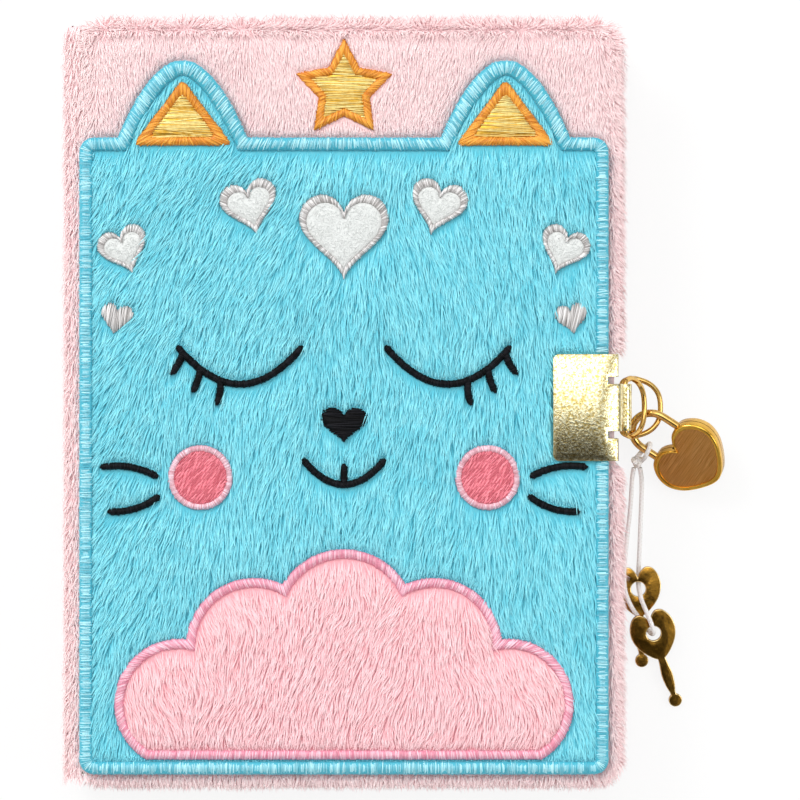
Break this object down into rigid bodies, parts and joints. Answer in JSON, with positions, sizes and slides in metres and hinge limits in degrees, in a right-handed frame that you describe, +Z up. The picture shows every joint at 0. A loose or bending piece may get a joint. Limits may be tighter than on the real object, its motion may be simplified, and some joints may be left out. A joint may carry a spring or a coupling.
{
  "type": "plush diary with padlock",
  "caption": "Plush-covered diary with a sleeping kitten patch in pile and satin stitch, closed by clasp plates, D-rings and a heart padlock, with keys on a cord.",
  "frame": {"origin": "middle of the back cover's outer face, on the surface that the diary lies on", "axes": "+Z up through the closed diary, +Y to the head of the cover, +X to the fore-edge and its lock"},
  "size_m": [0.1852, 0.2112, 0.0329],
  "materials": {
    "pink_plush": "short pale pink plush pile",
    "turquoise_plush": "long turquoise plush pile",
    "turquoise_satin": "satin stitch in rayon thread",
    "pink_satin": "satin stitch in rayon thread",
    "pale_pink_satin": "satin stitch in rayon thread",
    "coral_stitch": "fill stitch in rayon thread",
    "orange_satin": "satin stitch in rayon thread",
    "silver_satin": "satin stitch in rayon thread",
    "black_satin": "satin stitch in rayon thread",
    "gold_cloth": "woven metallic gold cloth",
    "felt": "short grey-white velvet",
    "wadding": "polyester wadding",
    "grey_board": "grey bookbinding board",
    "paper": "uncoated writing paper, cut edges",
    "endpaper": "plain tinted endpaper",
    "lining": "glued spine lining",
    "gold_plate": "stamped sheet with a fine satin grain",
    "padlock_metal": "brushed stamped sheet, slightly bronze",
    "key_metal": "stamped sheet, antique finish",
    "cord": "white round braided cord"
  },
  "bodies": {
    "back_cover": {"back_plush": "pink_plush", "back_board": "grey_board", "back_endpaper": "endpaper", "lower_pages": "paper", "spine_lining": "lining", "back_clasp_plate": "gold_plate", "key_cord": "cord", "rear_key": "key_metal", "front_key": "key_metal"},
    "spine": {"spine_plush": "pink_plush", "spine_board": "grey_board"},
    "front_cover": {"front_endpaper": "endpaper", "front_board": "grey_board", "front_padding": "wadding", "front_plush": "pink_plush", "star_fill": "gold_cloth", "star_edge": "orange_satin", "panel_plush": "turquoise_plush", "panel_edge": "turquoise_satin", "left_ear_fill": "gold_cloth", "left_ear_edge": "orange_satin", "right_ear_fill": "gold_cloth", "right_ear_edge": "orange_satin", "left_cheek_fill": "coral_stitch", "left_cheek_edge": "pale_pink_satin", "right_cheek_fill": "coral_stitch", "right_cheek_edge": "pale_pink_satin", "forehead_left_heart_fill": "felt", "forehead_left_heart_edge": "silver_satin", "forehead_middle_heart_fill": "felt", "forehead_middle_heart_edge": "silver_satin", "forehead_right_heart_fill": "felt", "forehead_right_heart_edge": "silver_satin", "right_upper_heart_fill": "felt", "right_upper_heart_edge": "silver_satin", "left_upper_heart_fill": "felt", "left_upper_heart_edge": "silver_satin", "right_lower_heart": "silver_satin", "left_lower_heart": "silver_satin", "cloud_fill": "pink_plush", "cloud_edge": "pink_satin", "left_eye": "black_satin", "right_eye": "black_satin", "nose": "black_satin", "mouth": "black_satin", "right_upper_whisker": "black_satin", "left_upper_whisker": "black_satin", "right_lower_whisker": "black_satin", "left_lower_whisker": "black_satin", "front_clasp_plate": "gold_plate"},
    "page_section": {"upper_pages": "paper"},
    "flyleaf_sheet": {"flyleaf": "endpaper"},
    "front_d_ring": {"front_ring": "gold_plate"},
    "back_d_ring": {"back_ring": "gold_plate"},
    "padlock_shackle": {"shackle": "gold_plate", "cord_loop": "cord", "cord_knot": "cord"},
    "padlock_body": {"padlock_front_case": "padlock_metal", "padlock_back_case": "padlock_metal"},
    "latch": {"padlock_latch": "key_metal"}
  },
  "joints": [
    {"name": "spine_hinge", "type": "hinge", "parent": "back_cover", "child": "spine", "pos_m": [-0.0752, 0, 0.0038], "axis": [0, -1, 0], "range_deg": [0, 80]},
    {"name": "cover_hinge", "type": "hinge", "parent": "spine", "child": "front_cover", "pos_m": [-0.0752, 0, 0.0264], "axis": [0, -1, 0], "range_deg": [0, 100]},
    {"name": "page_hinge", "type": "hinge", "parent": "back_cover", "child": "page_section", "pos_m": [-0.069, 0, 0.0162], "axis": [0, -1, 0], "range_deg": [0, 72]},
    {"name": "flyleaf_hinge", "type": "hinge", "parent": "page_section", "child": "flyleaf_sheet", "pos_m": [-0.0675, 0, 0.0191], "axis": [0, -1, 0], "range_deg": [0, 8]},
    {"name": "front_ring_hinge", "type": "hinge", "parent": "front_cover", "child": "front_d_ring", "pos_m": [0.078, -0.0015, 0.0223], "axis": [0, -1, 0], "range_deg": [0, 110]},
    {"name": "back_ring_hinge", "type": "hinge", "parent": "back_cover", "child": "back_d_ring", "pos_m": [0.078, -0.0015, 0.0083], "axis": [0, -1, 0], "range_deg": [0, 10]},
    {"name": "padlock_swing", "type": "hinge", "parent": "back_d_ring", "child": "padlock_shackle", "pos_m": [0.0845, -0.0065, 0.0083], "axis": [-0.5373, -0.8434, 0], "range_deg": [0, 15]},
    {"name": "shackle_slide", "type": "slide", "parent": "padlock_shackle", "child": "padlock_body", "axis": [0.8434, -0.5373, 0], "range_m": [0, 0.0065]},
    {"name": "latch_slide", "type": "slide", "parent": "padlock_body", "child": "latch", "axis": [-0.4722, -0.7412, -0.4772], "range_m": [-0.0009, 0]}
  ],
  "couplings": [
    {"joint": "page_hinge", "follows": "cover_hinge", "ratio": 0.72},
    {"joint": "flyleaf_hinge", "follows": "cover_hinge", "ratio": 0.08}
  ]
}
